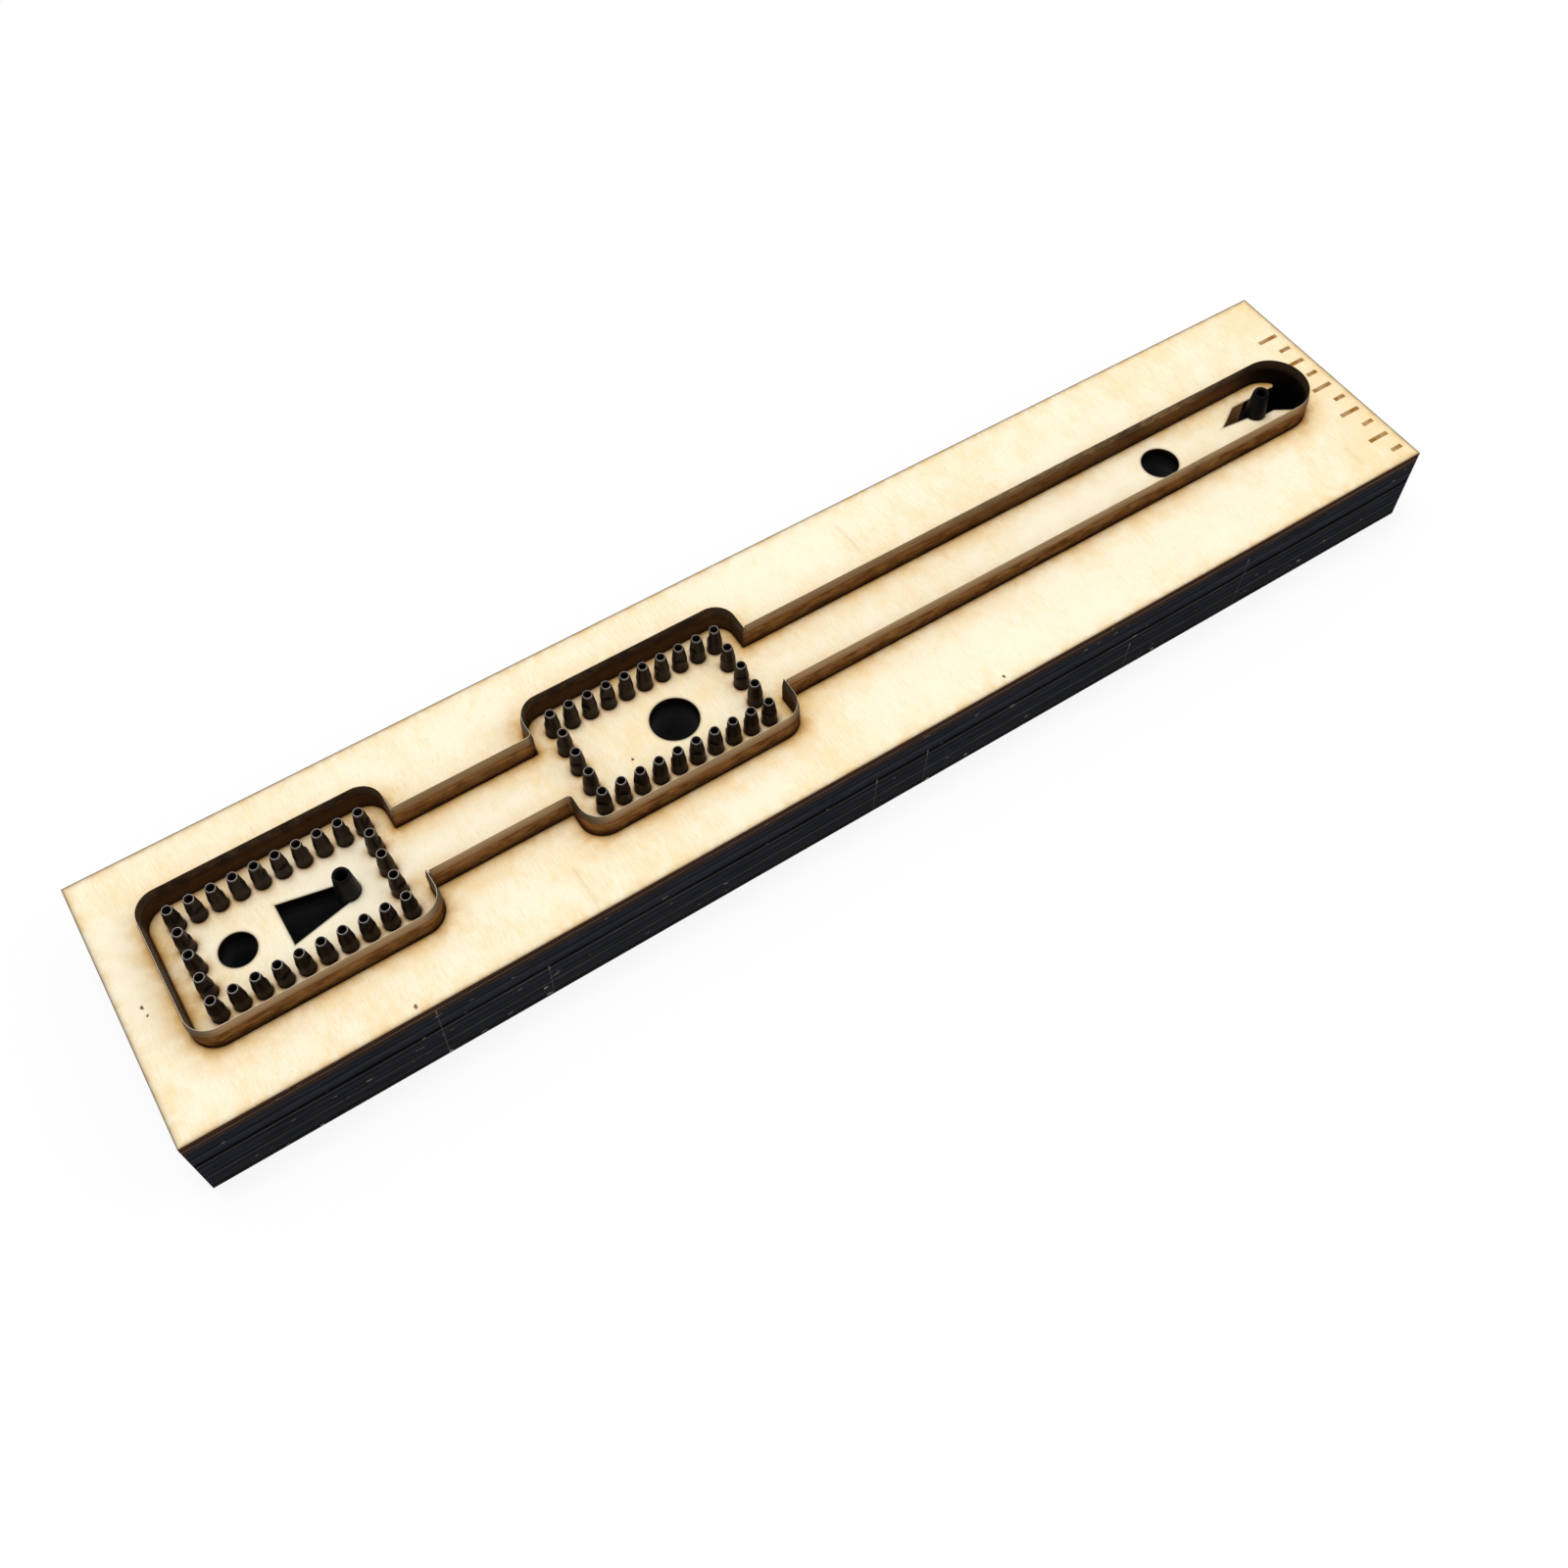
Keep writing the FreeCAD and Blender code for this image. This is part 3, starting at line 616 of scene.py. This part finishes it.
def rule_steel():
    material, shader, (x, y, z) = start_material("tempered_rule_steel")
    top = strap_high[2]
    roll = noise(x, y, z, ROLL_CELLS, 3.0, 0.6)
    blotch = noise(x, y, z, BLOTCH_CELLS, 4.0, 0.65)

    # The faces towards the punches and round the strap's tip are painted dark, as painted
    # shade.
    second = x > (panel_1_x + panel_2_x) / 2
    from_middle = x - panel_1_x - second * (panel_2_x - panel_1_x)
    in_panel = abs(from_middle) < panel_half_x + 1.0
    across = in_panel * from_middle + most(x - strap_centre, 0.0)
    normal = x.node("NewGeometry", {}, {}, "Normal")
    facing = [x.node("SeparateXYZ", {}, {0: normal}, axis) for axis in "XY"]
    inner = 1.0 - rise(across * facing[0] + y * facing[1], -0.5, 0.5)
    panel_inner_shade = 1.0 - rise(abs(from_middle), panel_half_x - 0.5, panel_half_x + RULE_HALF)
    panel_inner_shade = panel_inner_shade * (0.75 + rise(blotch, 0.35, 0.60) * 0.35)
    shade_along_strap = rise(x, STRAP_SHADE_FROM_X, STRAP_SHADE_FULL_X)
    strap_inner_shade = 0.05 + shade_along_strap * rise(blotch, 0.35, 0.60) * 0.65
    tip_inner_shade = rise(x, strap_centre - TIP_SHADE_LENGTH, strap_centre)
    soot_stain_and_shade = inner * most(panel_inner_shade, tip_inner_shade, strap_inner_shade)
    stain = fade(abs(x - STAIN_X), STAIN_REACH) * (1.0 - inner) * (y < 0.0)
    stain = stain * rise(blotch, 0.35, 0.55)
    soot_stain_and_shade = most(soot_stain_and_shade, stain * 0.7)

    # The body darkens towards its foot. The bevel above it is ground, with a pale edge.
    foot = fade(most(z - BOARD_THICKNESS, 0.0), FOOT_SHADE)
    body = blend(rise(blotch * 0.55 + roll * 0.45, 0.36, 0.62), RULE_DARK, RULE_BODY)
    body = blend(foot, body, BLACK)
    edge = top - BEVEL_DEPTH
    line = fade(abs(z - edge + (roll - 0.5) * 0.3), 0.10)
    bevel = rise(z + (roll - 0.5) * 0.4, edge - 0.08, edge + 0.15)
    ground = blend(rise(z, edge, top - 0.3), RULE_GROUND_LOW, RULE_GROUND)
    ground = blend(rise(z, top - EDGE_DEPTH, top - 0.08), ground, RULE_EDGE)
    # Where the bevel faces along x, on the panels' short sides, it is painted darker as painted
    # shade and made less metallic, to damp its reflection.
    ground = shade(ground, (0.45 + roll * 1.1) * (1.0 - abs(facing[0]) * 0.85))
    body = blend(bevel, body, ground)
    body = blend(line * 0.6, body, RULE_DARK)
    body = blend(soot_stain_and_shade * 0.85, body, RULE_SHADE_AND_STAIN)
    # Inside round the strap's tip the steel is painted black, as a painted shadow, less near
    # the top.
    tip_shadow_along = rise(x, strap_centre - TIP_SHADOW_FROM, strap_centre + TIP_SHADOW_FULL)
    tip_shadow = inner * tip_shadow_along * (1.0 - rise(z, top - 2.6, top - 1.0) * 0.7)
    link(shader, "Base Color", blend(tip_shadow * 0.85, body, BLACK))
    link(shader, "Metallic", (1.0 - soot_stain_and_shade * 0.2) * (1.0 - bevel * abs(facing[0]) * 0.9))
    shader.inputs["Specular IOR Level"].default_value = 0.2
    shader.inputs["Specular Tint"].default_value = (0.28, 0.20, 0.13, 1.0)
    link(shader, "Roughness", 0.38 + blotch * 0.18)
    height = roll * 0.02 + blotch * 0.015
    bump = x.node("Bump", {}, {"Strength": 0.6, "Distance": MM, "Height": height})
    link(shader, "Normal", bump)
    return material


rule_finish = rule_steel()
for name in ("panel_rule", "far_side_rule", "near_side_rule", "strap_rule"):
    dress(name, rule_finish)

# Stitch and rivet punches: turned steel tubes, blackened by heat treatment.
# Only the sharpened ring at the tip is ground bright.

PUNCH_BODY = (0.020, 0.0125, 0.009)
PUNCH_BLACK = (0.006, 0.006, 0.007)
PUNCH_TIP = (0.20, 0.185, 0.175)
TIP_DEPTH = 0.40
TIP_BORE_RADIUS = 0.70
TIP_OUTER_RADIUS = 0.97
TIP_BLUR = 0.07
PUNCH_FOOT_SHADE = 0.7
STAIN_CELLS = (0.9, 0.9, 0.6)
TURNED_CELLS = (0.4, 0.4, 9.0)
TURNED_BUMP = 0.02


def punch_steel(name, body_colour, tip_shine, sheen):
    material, shader, (x, y, z) = start_material(name)
    top = strap_high[2]
    stain = noise(x, y, z, STAIN_CELLS, 3.0, 0.6)
    turned = noise(x, y, z, TURNED_CELLS, 1.0)
    body = shade(body_colour, 0.4 + stain * 1.1)
    foot = fade(most(z - BOARD_THICKNESS, 0.0), PUNCH_FOOT_SHADE)
    body = blend(foot * 0.7, body, BLACK)
    from_axis = pocket_distance(x, y) + POCKET_RADIUS
    past_bore = rise(from_axis, TIP_BORE_RADIUS, TIP_BORE_RADIUS + TIP_BLUR)
    past_rim = rise(from_axis, TIP_OUTER_RADIUS - TIP_BLUR, TIP_OUTER_RADIUS)
    tip = past_bore * (1.0 - past_rim) * rise(z, top - TIP_DEPTH, top - TIP_DEPTH * 0.6)
    bright = shade(PUNCH_TIP, 0.4 + stain * 1.0)
    link(shader, "Base Color", blend(tip * tip_shine, body, bright))
    link(shader, "Metallic", sheen + tip * tip_shine * 0.5)
    shader.inputs["Specular IOR Level"].default_value = sheen * 0.4
    shader.inputs["Specular Tint"].default_value = (0.55, 0.48, 0.42, 1.0)
    link(shader, "Roughness", 0.34 + stain * 0.2)
    bump = x.node("Bump", {}, {"Strength": 0.5, "Distance": MM, "Height": turned * TURNED_BUMP})
    link(shader, "Normal", bump)
    return material


stitch_finish = punch_steel("blackened_stitch_punch", PUNCH_BODY, 1.0, 0.5)
rivet_finish = punch_steel("blackened_rivet_punch", PUNCH_BLACK, 0.02, 0.2)
for name in frame["nodes"]:
    if name.startswith("stitch_punch"):
        dress(name, stitch_finish)
    elif name.startswith("rivet_punch"):
        dress(name, rivet_finish)

# The floor is plain, white and matt, and much larger than the view. Most of
# what the camera sees of it is a white glow, so that only a faint shadow shows
# round the board. It isn't a piece of the die.

bpy.ops.object.select_all(action="DESELECT")
FLOOR_SIZE_M = 6.0
FLOOR_WHITE = (0.93, 0.93, 0.93, 1.0)
FLOOR_LIFT = 0.85
bpy.ops.mesh.primitive_plane_add(size=FLOOR_SIZE_M, location=(0, 0, 0))
floor = bpy.context.object
floor.name = "floor"
floor_paint, floor_shader, _ = start_material("white_floor")
floor_shader.inputs["Base Color"].default_value = FLOOR_WHITE
floor_shader.inputs["Roughness"].default_value = 0.7
floor_wire = Wire(floor_paint.node_tree)
lift = floor_wire.node("LightPath", {}, {}, "Is Camera Ray") * FLOOR_LIFT
white = floor_wire.node("Emission", {}, {"Color": (1.0, 1.0, 1.0), "Strength": 1.0})
painted = Wire(floor_paint.node_tree, floor_shader.outputs["BSDF"])
mixed = floor_wire.node("MixShader", {}, {0: lift, 1: painted, 2: white})
output = floor_paint.node_tree.nodes["Material Output"]
floor_paint.node_tree.links.new(mixed.socket, output.inputs["Surface"])
floor.data.materials.append(floor_paint)

# Plain soft studio light: a bright tent all round, a soft box high above the
# board and a weaker one at its near right. Places and widths are in metres,
# and powers in watts.

TENT = 0.45
SEEN_TENT = 1.0
BOARD_MIDDLE = (0, 0, 0)
KEY_PLACE = (-0.12, 0.15, 1.2)
KEY_WIDTH = 0.6
KEY_POWER = 8.8
FILL_PLACE = (0.7, -0.5, 0.9)
FILL_WIDTH = 0.9
FILL_POWER = 3.0
world = bpy.data.worlds.new("studio")
bpy.context.scene.world = world
world.use_nodes = True
sky = world.node_tree.nodes["Background"]
sky.inputs["Color"].default_value = (1.0, 1.0, 1.0, 1.0)
seen = Wire(world.node_tree).node("LightPath", {}, {}, "Is Camera Ray")
glossy = Wire(world.node_tree).node("LightPath", {}, {}, "Is Glossy Ray")
link(sky, "Strength", TENT + most(seen, glossy) * (SEEN_TENT - TENT))


def soft_box(name, place, aim, width, power):
    bpy.ops.object.light_add(type="AREA", location=place)
    lamp = bpy.context.object
    lamp.name = name
    lamp.data.shape = "SQUARE"
    lamp.data.size = width
    lamp.data.energy = power
    direction = [a - b for a, b in zip(aim, place)]
    lamp.rotation_mode = "QUATERNION"
    lamp.rotation_quaternion = Vector(direction).to_track_quat("-Z", "Y")


soft_box("key_light", KEY_PLACE, BOARD_MIDDLE, KEY_WIDTH, KEY_POWER)
soft_box("fill_light", FILL_PLACE, BOARD_MIDDLE, FILL_WIDTH, FILL_POWER)

# The camera stands at the board's near left and looks down on it. Its place,
# in metres, its turn, in degrees, and its lens were fitted to the corners of
# the board in the photograph.

CAMERA_PLACE = (-0.09322, -0.14105, 0.25484)
CAMERA_TURN = (33.771, -0.411, -33.197)
LENS = 37.522
SENSOR_WIDTH = 36.0
SHIFT = (-0.01625, -0.053125)
NEAREST_SEEN_M = 0.01
camera_data = bpy.data.cameras.new("camera")
camera = bpy.data.objects.new("camera", camera_data)
bpy.context.scene.collection.objects.link(camera)
camera.location = CAMERA_PLACE
camera.rotation_euler = Euler([math.radians(a) for a in CAMERA_TURN], "XYZ")
camera_data.lens = LENS
camera_data.sensor_width = SENSOR_WIDTH
camera_data.shift_x, camera_data.shift_y = SHIFT
camera_data.clip_start = NEAREST_SEEN_M
bpy.context.scene.camera = camera
bpy.context.scene.view_settings.view_transform = "Standard"
